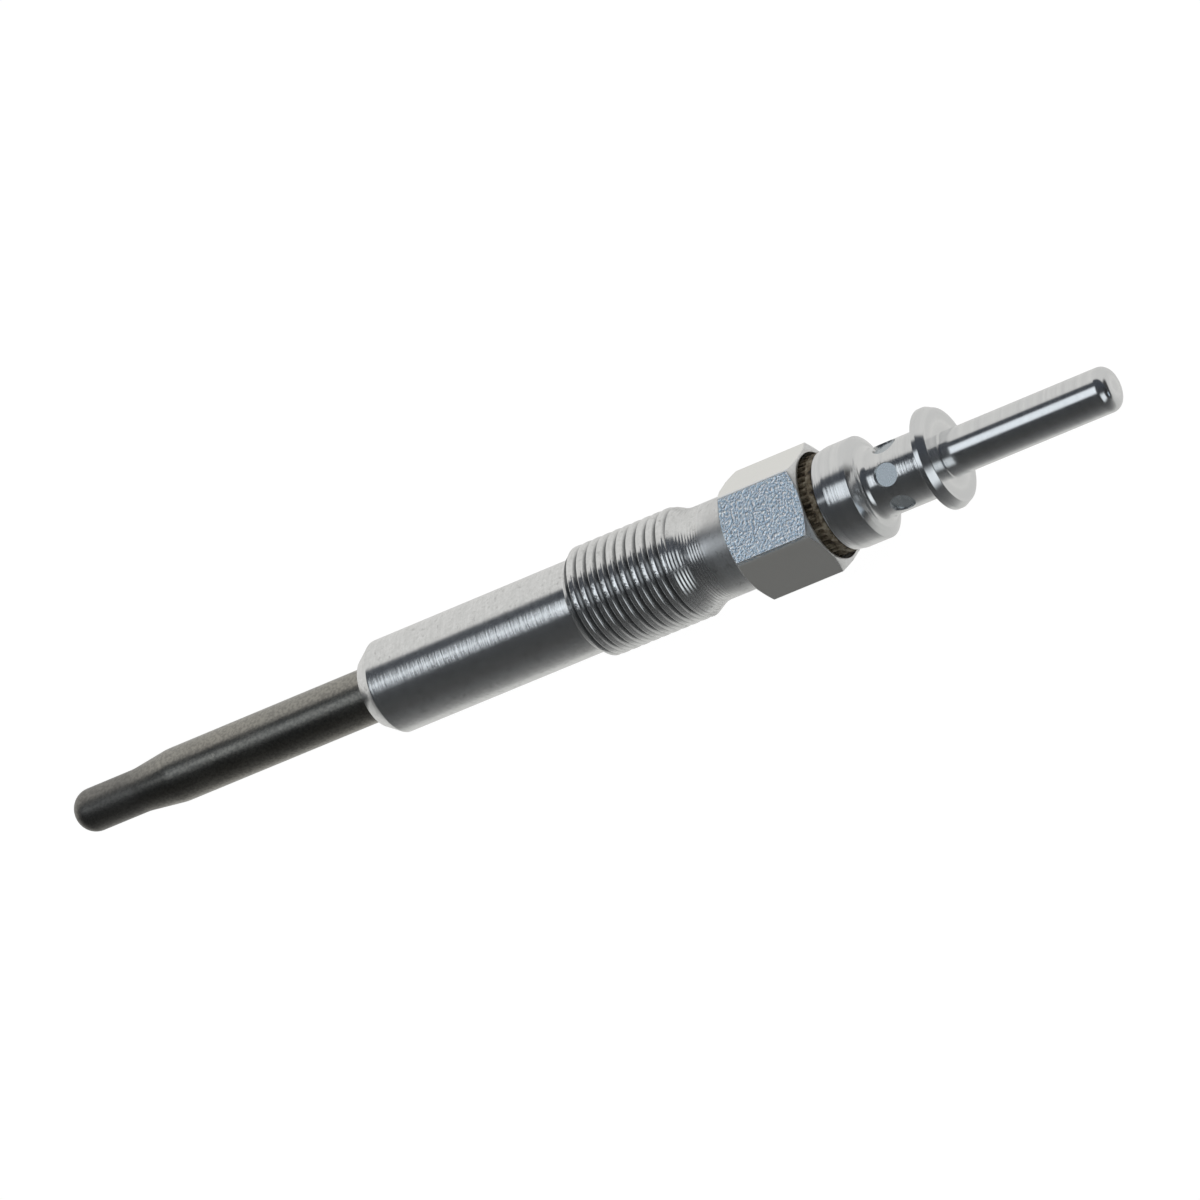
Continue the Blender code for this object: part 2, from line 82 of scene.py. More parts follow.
def drawn_outline(name, points, joined):
    """A chain of points above the plug's axis, extruded one by one from a single vertex."""
    bpy.ops.object.select_all(action="DESELECT")
    bpy.ops.mesh.primitive_plane_add(size=MM, location=(0, 0, AXIS_HEIGHT))
    piece = bpy.context.active_object
    piece.name = piece.data.name = name
    bpy.ops.object.mode_set(mode="EDIT")
    bpy.ops.mesh.select_mode(type="VERT")
    bpy.ops.mesh.merge(type="CENTER")
    bpy.ops.transform.translate(value=(points[0].x, 0, points[0].y))
    for last, point in zip(points, points[1:]):
        bpy.ops.mesh.extrude_vertices_move(
            TRANSFORM_OT_translate={"value": (point.x - last.x, 0, point.y - last.y)})
    if joined:
        bpy.ops.mesh.select_all(action="DESELECT")
        bpy.ops.object.mode_set(mode="OBJECT")
        for vertex in piece.data.vertices:
            vertex.select = vertex.index in (0, len(points) - 1)
        bpy.ops.object.mode_set(mode="EDIT")
        bpy.ops.mesh.edge_face_add()
    bpy.ops.object.mode_set(mode="OBJECT")
    return piece


def turned(name, points, joined, steps):
    """The outline spun once round the plug's axis into a closed, outward-facing solid."""
    piece = drawn_outline(name, points, joined)
    bpy.ops.object.mode_set(mode="EDIT")
    bpy.ops.mesh.select_all(action="SELECT")
    bpy.ops.mesh.spin(steps=steps, angle=math.tau, center=(0, 0, AXIS_HEIGHT), axis=(1, 0, 0))
    bpy.ops.mesh.select_all(action="SELECT")
    bpy.ops.mesh.remove_doubles(threshold=0.001 * MM)
    bpy.ops.mesh.normals_make_consistent(inside=False)
    bpy.ops.object.mode_set(mode="OBJECT")
    return piece


def apply_modifiers(piece):
    select_only(piece)
    for modifier in list(piece.modifiers):
        bpy.ops.object.modifier_apply(modifier=modifier.name)


def placed(piece, sharp_degrees):
    """Puts the piece's place into its mesh and shades it smooth between its sharp edges."""
    select_only(piece)
    bpy.ops.object.transform_apply(location=True, rotation=True, scale=True)
    bpy.ops.object.shade_smooth_by_angle(angle=math.radians(sharp_degrees))


def true_shading(piece):
    """Lets the large faces set the normals, so that small roundings don't bend the long ones."""
    weighted = piece.modifiers.new("true_shading", "WEIGHTED_NORMAL")
    weighted.keep_sharp = True
    weighted.weight = 50
    apply_modifiers(piece)


class Reading:
    """One output of a node, on which plain arithmetic adds the Math nodes."""

    def __init__(self, finish, socket):
        self.finish = finish
        self.socket = socket

    def _math(self, operation, first, second):
        return self.finish.node("ShaderNodeMath", {"operation": operation}, {0: first, 1: second})

    def __add__(self, other):
        return self._math("ADD", self, other)

    def __radd__(self, other):
        return self._math("ADD", other, self)

    def __sub__(self, other):
        return self._math("SUBTRACT", self, other)

    def __rsub__(self, other):
        return self._math("SUBTRACT", other, self)

    def __mul__(self, other):
        return self._math("MULTIPLY", self, other)

    def __rmul__(self, other):
        return self._math("MULTIPLY", other, self)

    def __truediv__(self, other):
        return self._math("DIVIDE", self, other)

    def __pow__(self, other):
        return self._math("POWER", self, other)

    def __gt__(self, other):
        return self._math("GREATER_THAN", self, other)

    def __lt__(self, other):
        return self._math("LESS_THAN", self, other)


class Finish:
    """The node tree of one material or of the world."""

    def __init__(self, owner):
        owner.use_nodes = True
        self.owner = owner
        self.tree = owner.node_tree

    def fill(self, socket, value):
        """Links a reading to a socket, or sets the socket's own value."""
        if isinstance(value, Reading):
            self.tree.links.new(value.socket, socket)
        elif socket.type == "RGBA":
            socket.default_value = (*value, 1.0)
        else:
            socket.default_value = value

    def node(self, kind, settings, values, output=0):
        """One node of this kind: its settings are made first, then its sockets are filled."""
        made = self.tree.nodes.new(kind)
        for key, value in settings.items():
            if key != "stops":
                setattr(made, key, value)
                continue
            ramp = made.color_ramp
            while len(ramp.elements) > 1:
                ramp.elements.remove(ramp.elements[-1])
            ramp.elements[0].position = value[0][0]
            ramp.elements[0].color = (*value[0][1], 1.0)
            for position, colour in value[1:]:
                ramp.elements.new(position).color = (*colour, 1.0)
        for key, value in values.items():
            self.fill(made.inputs[key], value)
        return Reading(self, made.outputs[output])

    def surface(self, **values):
        """Fills the Principled shader's sockets, named with underscores for spaces."""
        shader = self.tree.nodes["Principled BSDF"]
        for key, value in values.items():
            self.fill(shader.inputs[key.replace("_", " ")], value)

    def mixed(self, share, first, second):
        """Colour between first and second by a share from 0 to 1."""
        return self.node(
            "ShaderNodeMix", {"data_type": "RGBA"}, {0: share, 6: first, 7: second}, output=2)

    def ramp(self, value, *stops):
        """Colour that passes through stops of (position, colour)."""
        return self.node("ShaderNodeValToRGB", {"stops": stops}, {0: value})

    def fade(self, value, start, end, before=0.0, after=1.0, curve="LINEAR"):
        """A step from one level to another as the value passes from start to end."""
        return self.node(
            "ShaderNodeMapRange", {"interpolation_type": curve},
            {0: value, 1: start, 2: end, 3: before, 4: after})

    def where(self):
        """Place on the piece, in object coordinates."""
        return self.node("ShaderNodeTexCoord", {}, {}, output="Object")

    def part(self, vector, letter):
        """The X, Y or Z of a vector."""
        return self.node("ShaderNodeSeparateXYZ", {}, {0: vector}, output=letter)

    def off_axis(self, where):
        """Distance from the plug's axis."""
        y = self.part(where, "Y")
        z = self.part(where, "Z") - AXIS_HEIGHT
        return (y * y + z * z) ** 0.5

    def noise(self, where, scale, detail=2.0, roughness=0.5):
        return self.node(
            "ShaderNodeTexNoise", {"noise_dimensions": "3D"},
            {"Vector": where, "Scale": scale, "Detail": detail, "Roughness": roughness})

    def line_noise(self, distance, scale, detail, roughness):
        """Noise along one length only, as a lathe tool leaves it."""
        return self.node(
            "ShaderNodeTexNoise", {"noise_dimensions": "1D"},
            {"W": distance, "Scale": scale, "Detail": detail, "Roughness": roughness})

    def drawn_round(self, where, share):
        """Coordinates in which a pattern is drawn out round the plug: the less, the longer."""
        return self.node(
            "ShaderNodeVectorMath", {"operation": "MULTIPLY"}, {0: where, 1: (1.0, share, share)})

    def bump(self, height, depth):
        """Normal from a height of 0 to 1 that stands for this depth in metres."""
        return self.node(
            "ShaderNodeBump", {}, {"Height": height, "Distance": depth, "Strength": 1.0})


TIP_END = -52.81
TIP_RADIUS = 1.95
TIP_ROUND = 1.82
TIP_FLOOR = -51.21
TAPER_FRONT = -45.96
TAPER_BACK = -42.21
TAPER_ROUND = 5.0
TUBE_RADIUS = 2.43
TUBE_END = 0.87
TUBE_WALL = 0.6
tube_corners = [
    (TIP_END, 0.0, 0),
    (TIP_END, TIP_RADIUS, TIP_ROUND),
    (TAPER_FRONT, TIP_RADIUS, TAPER_ROUND),
    (TAPER_BACK, TUBE_RADIUS, TAPER_ROUND),
    (TUBE_END, TUBE_RADIUS, 0.08),
    (TUBE_END, TUBE_RADIUS - TUBE_WALL, 0.08),
    (TAPER_BACK, TUBE_RADIUS - TUBE_WALL, 0),
    (TAPER_FRONT, TIP_RADIUS - TUBE_WALL, 0),
    (TIP_FLOOR, TIP_RADIUS - TUBE_WALL, 0.45),
    (TIP_FLOOR, 0.0, 0),
]
glow_tube = turned("sheath", rounded(tube_corners, step_degrees=7.0), joined=False, steps=128)
placed(glow_tube, sharp_degrees=35.0)
true_shading(glow_tube)

sheath_finish = Finish(bpy.data.materials.new("fired_nickel_alloy"))
where = sheath_finish.where()
x = sheath_finish.part(where, "X")
drawing_lines = sheath_finish.line_noise(
    x + sheath_finish.off_axis(where), scale=2600.0, detail=3.0, roughness=0.7)
cloud = sheath_finish.noise(where, scale=260.0, detail=4.0, roughness=0.6)
speck = sheath_finish.noise(where, scale=3800.0)
stain = sheath_finish.noise(where, scale=90.0, detail=3.0, roughness=0.6)
brown = sheath_finish.mixed(cloud, (0.34, 0.32, 0.28), (0.54, 0.515, 0.455))
tone = sheath_finish.mixed(stain, brown, (0.36, 0.355, 0.33))
# Painted shade: the tip forward of the taper is drawn darker, standing in for the strip light
# that stops short of the tip; it is also made rougher.
shaded_tip = sheath_finish.fade(x, start=-46.5 * MM, end=-42.5 * MM, before=1.0, after=0.0)
tone = sheath_finish.mixed(shaded_tip * 0.5, tone, (0.17, 0.17, 0.175))
soot = sheath_finish.fade(speck, start=0.42, end=0.60, after=0.45)
sheath_finish.surface(
    Base_Color=sheath_finish.mixed(soot, tone, (0.16, 0.155, 0.15)),
    Metallic=1.0,
    Roughness=0.2 + 0.16 * cloud + 0.06 * speck + 0.12 * shaded_tip,
    Normal=sheath_finish.bump(drawing_lines * 0.3 + speck * 0.7, depth=0.014 * MM),
)
glow_tube.data.materials.append(sheath_finish.owner)
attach(glow_tube, "root")
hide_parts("glow_tube")


# Body: one bar-turned steel piece with a cone seat at its nose, a plain shank, a rolled
# M10 x 1 right-hand thread, a neck and a 10 mm hexagon that is hollowed at its rear for
# the washer. It is bright zinc plated. Only its top flat gets the pitted grain of the drawn bar,
# in a darker blue tone that is a painted reflection of the strip light; the other flats stay
# plain.

HEX_SIDES = 6
HALF_ACROSS_FLATS = 5.0 * MM


def keep_flats(piece, count, distance):
    """Mills flats round the axis: each cut takes off what lies beyond the given distance."""
    for index in range(count):
        angle = math.tau * index / count
        outward = Vector((0, math.sin(angle), math.cos(angle)))
        bpy.ops.object.mode_set(mode="EDIT")
        bpy.ops.mesh.select_all(action="SELECT")
        bpy.ops.mesh.bisect(
            plane_co=Vector((0, 0, AXIS_HEIGHT)) + outward * distance, plane_no=outward,
            use_fill=True, clear_outer=True, threshold=0.0001 * MM)
        bpy.ops.object.mode_set(mode="OBJECT")


def press_to_flats(piece, count, distance):
    """Moves what a bevel has pushed past the flats back on to them."""
    for vertex in piece.data.vertices:
        for index in range(count):
            angle = math.tau * index / count
            beyond = vertex.co.y * math.sin(angle) + vertex.co.z * math.cos(angle) - distance
            if beyond > 0:
                vertex.co.y -= beyond * math.sin(angle)
                vertex.co.z -= beyond * math.cos(angle)


def subtract(piece, tool):
    """Cuts the tool out of the piece and throws the tool away."""
    boolean = piece.modifiers.new("cut", "BOOLEAN")
    boolean.operation = "DIFFERENCE"
    boolean.solver = "EXACT"
    boolean.object = tool
    apply_modifiers(piece)
    bpy.data.objects.remove(tool, do_unlink=True)


HEX_BACK = 24.74
HEX_FRONT = 16.99
HEX_CHAMFER = 0.5
CHAMFER_FOOT = 5.05
BAR_RADIUS = 5.87
NECK_FRONT = 12.59
SHANK_RADIUS = 4.2
THREAD_RADIUS = 4.95
THREAD_BACK = 11.12
THREAD_FRONT = 1.54
SHANK_BACK = 0.79
SHANK_FRONT = -19.61
NOSE_FACE = -21.11
NOSE_RADIUS = 3.16
TUBE_BORE = 2.49
TUBE_SEAT_END = 0.94
ROD_BORE = 3.0
RING_SEAT = 21.24
RING_BORE = 3.6
RECESS_FLOOR = 23.14
RECESS_RADIUS = 4.74
body_corners = [
    (HEX_BACK, RECESS_RADIUS, 0),
    (HEX_BACK, CHAMFER_FOOT, 0),
    (HEX_BACK - HEX_CHAMFER, BAR_RADIUS, 0),
    (HEX_FRONT + HEX_CHAMFER, BAR_RADIUS, 0),
    (HEX_FRONT, CHAMFER_FOOT, 0),
    (HEX_FRONT, SHANK_RADIUS, 0.25),
    (NECK_FRONT, SHANK_RADIUS, 2.0),
    (THREAD_BACK, THREAD_RADIUS, 0.12),
    (THREAD_FRONT, THREAD_RADIUS, 0.1),
    (SHANK_BACK, SHANK_RADIUS, 0.15),
    (SHANK_FRONT, SHANK_RADIUS, 0.3),
    (NOSE_FACE, NOSE_RADIUS, 0.12),
    (NOSE_FACE, TUBE_BORE, 0.08),
    (TUBE_SEAT_END, TUBE_BORE, 0),
    (TUBE_SEAT_END, ROD_BORE, 0),
    (RING_SEAT, ROD_BORE, 0),
    (RING_SEAT, RING_BORE, 0),
    (RECESS_FLOOR, RING_BORE, 0),
    (RECESS_FLOOR, RECESS_RADIUS, 0.1),
]
body = turned("threaded_body", rounded(body_corners, step_degrees=15.0), joined=True, steps=144)
keep_flats(body, HEX_SIDES, HALF_ACROSS_FLATS)
edges = body.modifiers.new("deburring", "BEVEL")
edges.width = 0.05 * MM
edges.segments = 2
edges.limit_method = "ANGLE"
edges.angle_limit = math.radians(25.0)
edges.use_clamp_overlap = False
edges.miter_outer = "MITER_ARC"
apply_modifiers(body)
press_to_flats(body, HEX_SIDES, HALF_ACROSS_FLATS)

PITCH = 1.0 * MM
GROOVE_START = -0.526 * MM
GROOVE_END = 11.56 * MM
FADE_LENGTH = 0.20 * MM
FADE_LIFT = 0.62 * MM
GROOVE_STEPS = 96
groove_side = [(0.49, 5.30), (0.36, 4.95), (0.315, 4.945), (0.275, 4.930), (0.245, 4.90)]
groove_root = (0.0, 4.465)
groove_corners = groove_side + [groove_root] + [(-x, r) for x, r in reversed(groove_side)]
groove = drawn_outline("thread_groove", [Vector(p) * MM for p in groove_corners], joined=True)
turns = (GROOVE_END - GROOVE_START) / PITCH
helix = groove.modifiers.new("rolling", "SCREW")
helix.axis = "X"
helix.angle = math.tau * turns
helix.screw_offset = PITCH * turns
helix.steps = helix.render_steps = round(turns * GROOVE_STEPS)
apply_modifiers(groove)
bpy.ops.object.mode_set(mode="EDIT")
bpy.ops.mesh.select_all(action="SELECT")
bpy.ops.mesh.remove_doubles(threshold=0.0001 * MM)
bpy.ops.mesh.select_all(action="DESELECT")
bpy.ops.mesh.select_non_manifold()
bpy.ops.mesh.fill_holes(sides=16)
bpy.ops.mesh.select_all(action="SELECT")
bpy.ops.mesh.normals_make_consistent(inside=False)
bpy.ops.object.mode_set(mode="OBJECT")
for vertex in groove.data.vertices:
    swept = math.atan2(-vertex.co.y, vertex.co.z) / math.tau * PITCH
    middle = swept + round((vertex.co.x - swept) / PITCH) * PITCH + GROOVE_START
    vertex.co.x += GROOVE_START
    share = (middle - (GROOVE_END - FADE_LENGTH)) / FADE_LENGTH
    distance = math.hypot(vertex.co.y, vertex.co.z)
    grown = 1 + FADE_LIFT * min(1.0, max(0.0, share)) / distance
    vertex.co.y *= grown
    vertex.co.z *= grown
bpy.context.view_layer.update()
subtract(body, groove)
placed(body, sharp_degrees=32.0)
true_shading(body)

plate_finish = Finish(bpy.data.materials.new("zinc_plated_turning"))
where = plate_finish.where()
x = plate_finish.part(where, "X")
tool_lines = plate_finish.noise(
    plate_finish.drawn_round(where, 0.106), scale=4600.0, detail=1.2, roughness=0.5)
tool_bands = plate_finish.noise(
    plate_finish.drawn_round(where, 0.03), scale=1300.0, detail=2.0, roughness=0.6)
smudge = plate_finish.noise(where, scale=210.0, detail=3.0, roughness=0.6)
grit = plate_finish.noise(where, scale=5200.0, detail=2.0, roughness=0.6)

streaks = plate_finish.fade(tool_lines * 0.6 + tool_bands * 0.4, start=0.38, end=0.62)
tone = plate_finish.mixed(streaks, (0.85, 0.855, 0.855), (0.92, 0.925, 0.925))
mottle = plate_finish.noise(where, scale=2600.0, detail=3.0, roughness=0.65)
mottle = plate_finish.fade(mottle, start=0.40, end=0.60, after=0.22)
tone = plate_finish.mixed(mottle, tone, (0.60, 0.60, 0.585))
spots = plate_finish.noise(where, scale=1500.0, detail=3.0, roughness=0.7)
spots = plate_finish.fade(spots, start=0.58, end=0.72, after=0.5)
tone = plate_finish.mixed(spots, tone, (0.40, 0.40, 0.39))
# Painted shade: inside the thread, the grooves below the crests are darkened toward the roots.
in_thread = (x > 1.2 * MM) * (x < 11.5 * MM)
groove_shade = plate_finish.fade(
    plate_finish.off_axis(where), start=4.60 * MM, end=4.84 * MM, before=0.64, after=0.0)
tone = plate_finish.mixed(groove_shade * in_thread, tone, (0.16, 0.165, 0.17))

COARSE_FROM = -21.2 * MM
COARSE_LENGTH = 46.0 * MM
ON_SHANK = (0.62, 0.62, 0.62)
IN_THREAD = (0.05, 0.05, 0.05)
ON_NECK = (1.0, 1.0, 1.0)
coarse = plate_finish.ramp(
    (x - COARSE_FROM) / COARSE_LENGTH,
    (0.0, ON_SHANK), (0.45, ON_SHANK), (0.48, IN_THREAD),
    (0.69, IN_THREAD), (0.72, ON_NECK), (1.0, ON_NECK))
FEED = 0.27 * MM
feed = plate_finish.node(
    "ShaderNodeMath", {"operation": "FRACT"}, {0: x / FEED + 0.6 * tool_bands})
feed_marks = plate_finish.node("ShaderNodeMath", {"operation": "MINIMUM"}, {0: feed, 1: 0.55})
past_thread = plate_finish.fade(x, start=11.0 * MM, end=11.3 * MM, curve="SMOOTHSTEP")
before_hexagon = plate_finish.fade(
    x, start=12.2 * MM, end=15.2 * MM, before=1.0, after=0.04, curve="SMOOTHSTEP")
feed_marks = 4.6 * feed_marks * past_thread * before_hexagon
relief = (tool_lines * 0.48 + tool_bands * 0.1 + grit * 0.08) * coarse + feed_marks
matt_neck = plate_finish.fade(x, start=13.6 * MM, end=15.4 * MM)
plate_finish.surface(
    Base_Color=tone,
    Metallic=0.86,
    Roughness=0.08 + 0.06 * coarse + 0.06 * tool_bands + 0.06 * smudge + 0.19 * matt_neck,
    Normal=plate_finish.bump(relief, depth=0.024 * MM),
)
body.data.materials.append(plate_finish.owner)

flat_finish = Finish(bpy.data.materials.new("zinc_plated_drawn_bar"))
where = flat_finish.where()
grain = flat_finish.noise(where, scale=4600.0, detail=2.0, roughness=0.6)
height = flat_finish.part(where, "Z") - AXIS_HEIGHT
top_flat = flat_finish.fade(height, start=4.6 * MM, end=4.9 * MM)
# Real grain, but painted reflection in its darker blue tone: it is given to the top flat only,
# where the strip light falls, while the other flats stay plain pale.
pits = flat_finish.ramp(
    grain, (0.40, (0.0, 0.0, 0.0)), (0.53, (0.4, 0.4, 0.4)), (0.62, (1.0, 1.0, 1.0)))
pits_and_painted_reflection = flat_finish.mixed(pits, (0.57, 0.70, 0.82), (1.0, 1.0, 1.0))
flat_finish.surface(
    Base_Color=flat_finish.mixed(top_flat, (0.94, 0.94, 0.91), pits_and_painted_reflection),
    Metallic=0.95,
    Roughness=0.14 + 0.1 * grain * top_flat,
    Normal=flat_finish.bump(grain * top_flat, depth=0.034 * MM),
)
body.data.materials.append(flat_finish.owner)
SMALLEST_FLAT = 20 * MM * MM
for polygon in body.data.polygons:
    is_flat = abs(polygon.normal.x) < 0.05 and polygon.area > SMALLEST_FLAT
    polygon.material_index = 1 if is_flat else 0
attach(body, "root")
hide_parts("housing")


# Insulating washer: a moulded ring of brown phenolic that sits in the body's recess and
# stands a millimetre proud of it, so that the live terminal never touches the earthed body.

WASHER_BACK = 25.76
WASHER_FRONT = 23.24
WASHER_RADIUS = 4.39
WASHER_FACE_RADIUS = 4.34
WASHER_BEVEL = 25.60
WASHER_BORE = 1.66
WASHER_STEPS = 184
NOTCH_FRONT = 25.20
NOTCH_BACK = 25.28
NOTCH_FLOOR = 4.08
NOTCH_SPACING = 4
NOTCH_WIDTH = 2
washer_corners = [
    (WASHER_BACK, WASHER_BORE, 0),
    (WASHER_BACK, WASHER_FACE_RADIUS, 0.08),
    (WASHER_BEVEL, WASHER_RADIUS, 0),
    (NOTCH_BACK, WASHER_RADIUS, 0),
    (NOTCH_FRONT, WASHER_RADIUS, 0),
    (WASHER_FRONT, WASHER_RADIUS, 0.12),
    (WASHER_FRONT, WASHER_BORE, 0),
]
washer = turned(
    "insulating_ring", rounded(washer_corners, step_degrees=20.0), joined=True,
    steps=WASHER_STEPS)
for vertex in washer.data.vertices:
    distance = math.hypot(vertex.co.y, vertex.co.z)
    around = round(WASHER_STEPS * math.atan2(vertex.co.y, vertex.co.z) / math.tau)
    on_rim = distance > 4.2 * MM and vertex.co.x < 25.25 * MM
    if on_rim and around % NOTCH_SPACING < NOTCH_WIDTH:
        vertex.co.y *= NOTCH_FLOOR * MM / distance
        vertex.co.z *= NOTCH_FLOOR * MM / distance
placed(washer, sharp_degrees=35.0)

washer_finish = Finish(bpy.data.materials.new("brown_phenolic"))
where = washer_finish.where()
mottle = washer_finish.noise(where, scale=1700.0, detail=3.0, roughness=0.7)
fleck = washer_finish.noise(where, scale=3500.0, detail=2.0, roughness=0.6)
brown = washer_finish.ramp(
    mottle,
    (0.36, (0.04, 0.03, 0.02)), (0.45, (0.18, 0.14, 0.09)),
    (0.54, (0.32, 0.265, 0.185)), (0.64, (0.50, 0.44, 0.33)))
washer_finish.surface(
    Base_Color=washer_finish.mixed(fleck * 0.35, brown, (0.05, 0.04, 0.03)),
    Roughness=0.55 + 0.3 * fleck,
    Normal=washer_finish.bump(mottle * 0.6 + fleck * 0.4, depth=0.06 * MM),
)
washer.data.materials.append(washer_finish.owner)
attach(washer, "root")
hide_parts("insulating_washer")


# Terminal: collar, waist, bevelled flange and 4 mm contact pin, turned in one piece from
# bright plated bar, then crimped on to the centre rod by six flat-ended punches that leave
# round dimples in the waist.

PIN_END = 52.81
PIN_RADIUS = 2.0
PIN_END_ROUND = 1.0
FLANGE_BACK = 36.76
FLANGE_BEVEL_FOOT = 4.16
FLANGE_RIM = 36.06
FLANGE_RADIUS = 4.5
FLANGE_FRONT = 35.59
WAIST_RADIUS = 3.0
COLLAR_BACK = 29.54
COLLAR_BACK_RADIUS = 3.75
COLLAR_SHOULDER = 29.07
COLLAR_RADIUS = 4.54
COLLAR_BEVEL = 26.74
COLLAR_FRONT = 25.84
COLLAR_FRONT_RADIUS = 4.38
ROD_HOLE = 1.65
ROD_HOLE_END = 34.24
terminal_corners = [
    (PIN_END, 0.0, 0),
    (PIN_END, PIN_RADIUS, PIN_END_ROUND),
    (FLANGE_BACK, PIN_RADIUS, 0.2),
    (FLANGE_BACK, FLANGE_BEVEL_FOOT, 0.1),
    (FLANGE_RIM, FLANGE_RADIUS, 0.06),
    (FLANGE_FRONT, FLANGE_RADIUS, 0.06),
    (FLANGE_FRONT, WAIST_RADIUS, 0.3),
    (COLLAR_BACK, WAIST_RADIUS, 0.72),
    (COLLAR_BACK, COLLAR_BACK_RADIUS, 0.06),
    (COLLAR_SHOULDER, COLLAR_RADIUS, 0.08),
    (COLLAR_BEVEL, COLLAR_RADIUS, 0.12),
    (COLLAR_FRONT, COLLAR_FRONT_RADIUS, 0.06),
    (COLLAR_FRONT, ROD_HOLE, 0),
    (ROD_HOLE_END, ROD_HOLE, 0),
    (ROD_HOLE_END, 0.0, 0),
]
terminal = turned(
    "pin_terminal", rounded(terminal_corners, step_degrees=10.0), joined=False, steps=144)

DIMPLES = 6
DIMPLE_PLACE = 31.94 * MM
FIRST_DIMPLE = math.radians(3.7)
DIMPLE_FLOOR_RADIUS = 1.0 * MM
PUNCH_LENGTH = 0.8 * MM
PUNCH_TAPER = 1.3
PUNCH_HEIGHT = 3.12 * MM
placed(terminal, sharp_degrees=30.0)
for index in range(DIMPLES):
    bpy.ops.object.select_all(action="DESELECT")
    bpy.ops.mesh.primitive_cylinder_add(
        vertices=48, radius=DIMPLE_FLOOR_RADIUS, depth=PUNCH_LENGTH, location=(0, 0, 0))
    punch = bpy.context.active_object
    bpy.ops.object.mode_set(mode="EDIT")
    bpy.ops.mesh.select_mode(type="FACE")
    bpy.ops.mesh.select_all(action="DESELECT")
    bpy.ops.object.mode_set(mode="OBJECT")
    for polygon in punch.data.polygons:
        polygon.select = polygon.normal.z > 0.9
    bpy.ops.object.mode_set(mode="EDIT")
    bpy.ops.transform.resize(value=(PUNCH_TAPER, PUNCH_TAPER, 1), center_override=(0, 0, 0))
    bpy.ops.object.mode_set(mode="OBJECT")
    on_waist = Matrix.Translation((DIMPLE_PLACE, 0, AXIS_HEIGHT))
    swing = Matrix.Rotation(FIRST_DIMPLE + math.tau * index / DIMPLES, 4, "X")
    punch.data.transform(on_waist @ swing @ Matrix.Translation((0, 0, PUNCH_HEIGHT)))
    bpy.context.view_layer.update()
    subtract(terminal, punch)
placed(terminal, sharp_degrees=32.0)
true_shading(terminal)

terminal_finish = Finish(bpy.data.materials.new("zinc_plated_terminal"))
where = terminal_finish.where()
x = terminal_finish.part(where, "X")
along = x + terminal_finish.off_axis(where)
tool_lines = terminal_finish.line_noise(along, scale=4200.0, detail=2.0, roughness=0.6)
tool_bands = terminal_finish.line_noise(along, scale=1300.0, detail=3.0, roughness=0.6)
smudge = terminal_finish.noise(where, scale=260.0, detail=3.0, roughness=0.6)
grit = terminal_finish.noise(where, scale=6000.0, detail=2.0, roughness=0.6)
lined = terminal_finish.fade(x, start=35.4 * MM, end=35.8 * MM, before=1.0, after=0.12)
terminal_finish.surface(
    Base_Color=terminal_finish.mixed(tool_bands, (0.70, 0.71, 0.72), (0.93, 0.935, 0.935)),
    Metallic=0.87,
    Roughness=0.08 + 0.08 * tool_bands + 0.07 * smudge,
    Normal=terminal_finish.bump((tool_lines * 0.95 + grit * 0.05) * lined, depth=0.013 * MM),
)
terminal.data.materials.append(terminal_finish.owner)

punched_finish = Finish(bpy.data.materials.new("zinc_plated_punch_mark"))
where = punched_finish.where()
scuff = punched_finish.noise(
    punched_finish.drawn_round(where, 0.4), scale=3400.0, detail=2.0, roughness=0.6)
punched_finish.surface(
    Base_Color=punched_finish.mixed(scuff, (0.40, 0.44, 0.465), (0.64, 0.69, 0.73)),
    Metallic=0.87,
    Roughness=0.20 + 0.12 * scuff,
    Normal=punched_finish.bump(scuff, depth=0.004 * MM),
)
terminal.data.materials.append(punched_finish.owner)
SMALLEST_DIMPLE_FLOOR = 1.5 * MM * MM
for polygon in terminal.data.polygons:
    on_waist = 30 * MM < polygon.center.x < 34 * MM
    polygon.material_index = 1 if on_waist and polygon.area > SMALLEST_DIMPLE_FLOOR else 0
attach(terminal, "root")
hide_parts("terminal")


# Heating and regulating coils: drawn resistance wire and nickel wire, wound and welded end
# to end inside the sheath.

def finish_inside(name, finish):
    """Gives an inner piece, which keeps its solid's own shape, this finish."""
    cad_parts[name].data.materials.clear()
    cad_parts[name].data.materials.append(finish.owner)


for node, dull, bright in (
        ("heating_coil", (0.25, 0.22, 0.20), (0.42, 0.38, 0.34)),
        ("regulating_coil", (0.50, 0.45, 0.37), (0.68, 0.63, 0.54))):
    wire_finish = Finish(bpy.data.materials.new(node + "_wire"))
    scale = wire_finish.noise(wire_finish.where(), scale=2200.0, detail=3.0, roughness=0.6)
    wire_finish.surface(
        Base_Color=wire_finish.mixed(scale, dull, bright),
        Metallic=1.0,
        Roughness=0.3 + 0.25 * scale,
        Normal=wire_finish.bump(scale, depth=0.01 * MM),
    )
    finish_inside(node, wire_finish)


# Magnesia powder: packed hard round the coils when the sheath is swaged, off-white and
# chalky, with the grain of the crushed oxide.

powder_finish = Finish(bpy.data.materials.new("packed_magnesia"))
where = powder_finish.where()
crumb = powder_finish.noise(where, scale=6500.0, detail=4.0, roughness=0.7)
patch = powder_finish.noise(where, scale=400.0)
powder_finish.surface(
    Base_Color=powder_finish.mixed(patch, (0.78, 0.75, 0.70), (0.90, 0.88, 0.85)),
    Roughness=0.85 + 0.1 * crumb,
    Normal=powder_finish.bump(crumb, depth=0.03 * MM),
)
finish_inside("insulating_powder", powder_finish)


# Rubber seals: the fluorocarbon bush that stops the sheath's open end and the ring that
# seals the rod in the body, both moulded black with a faint bloom.

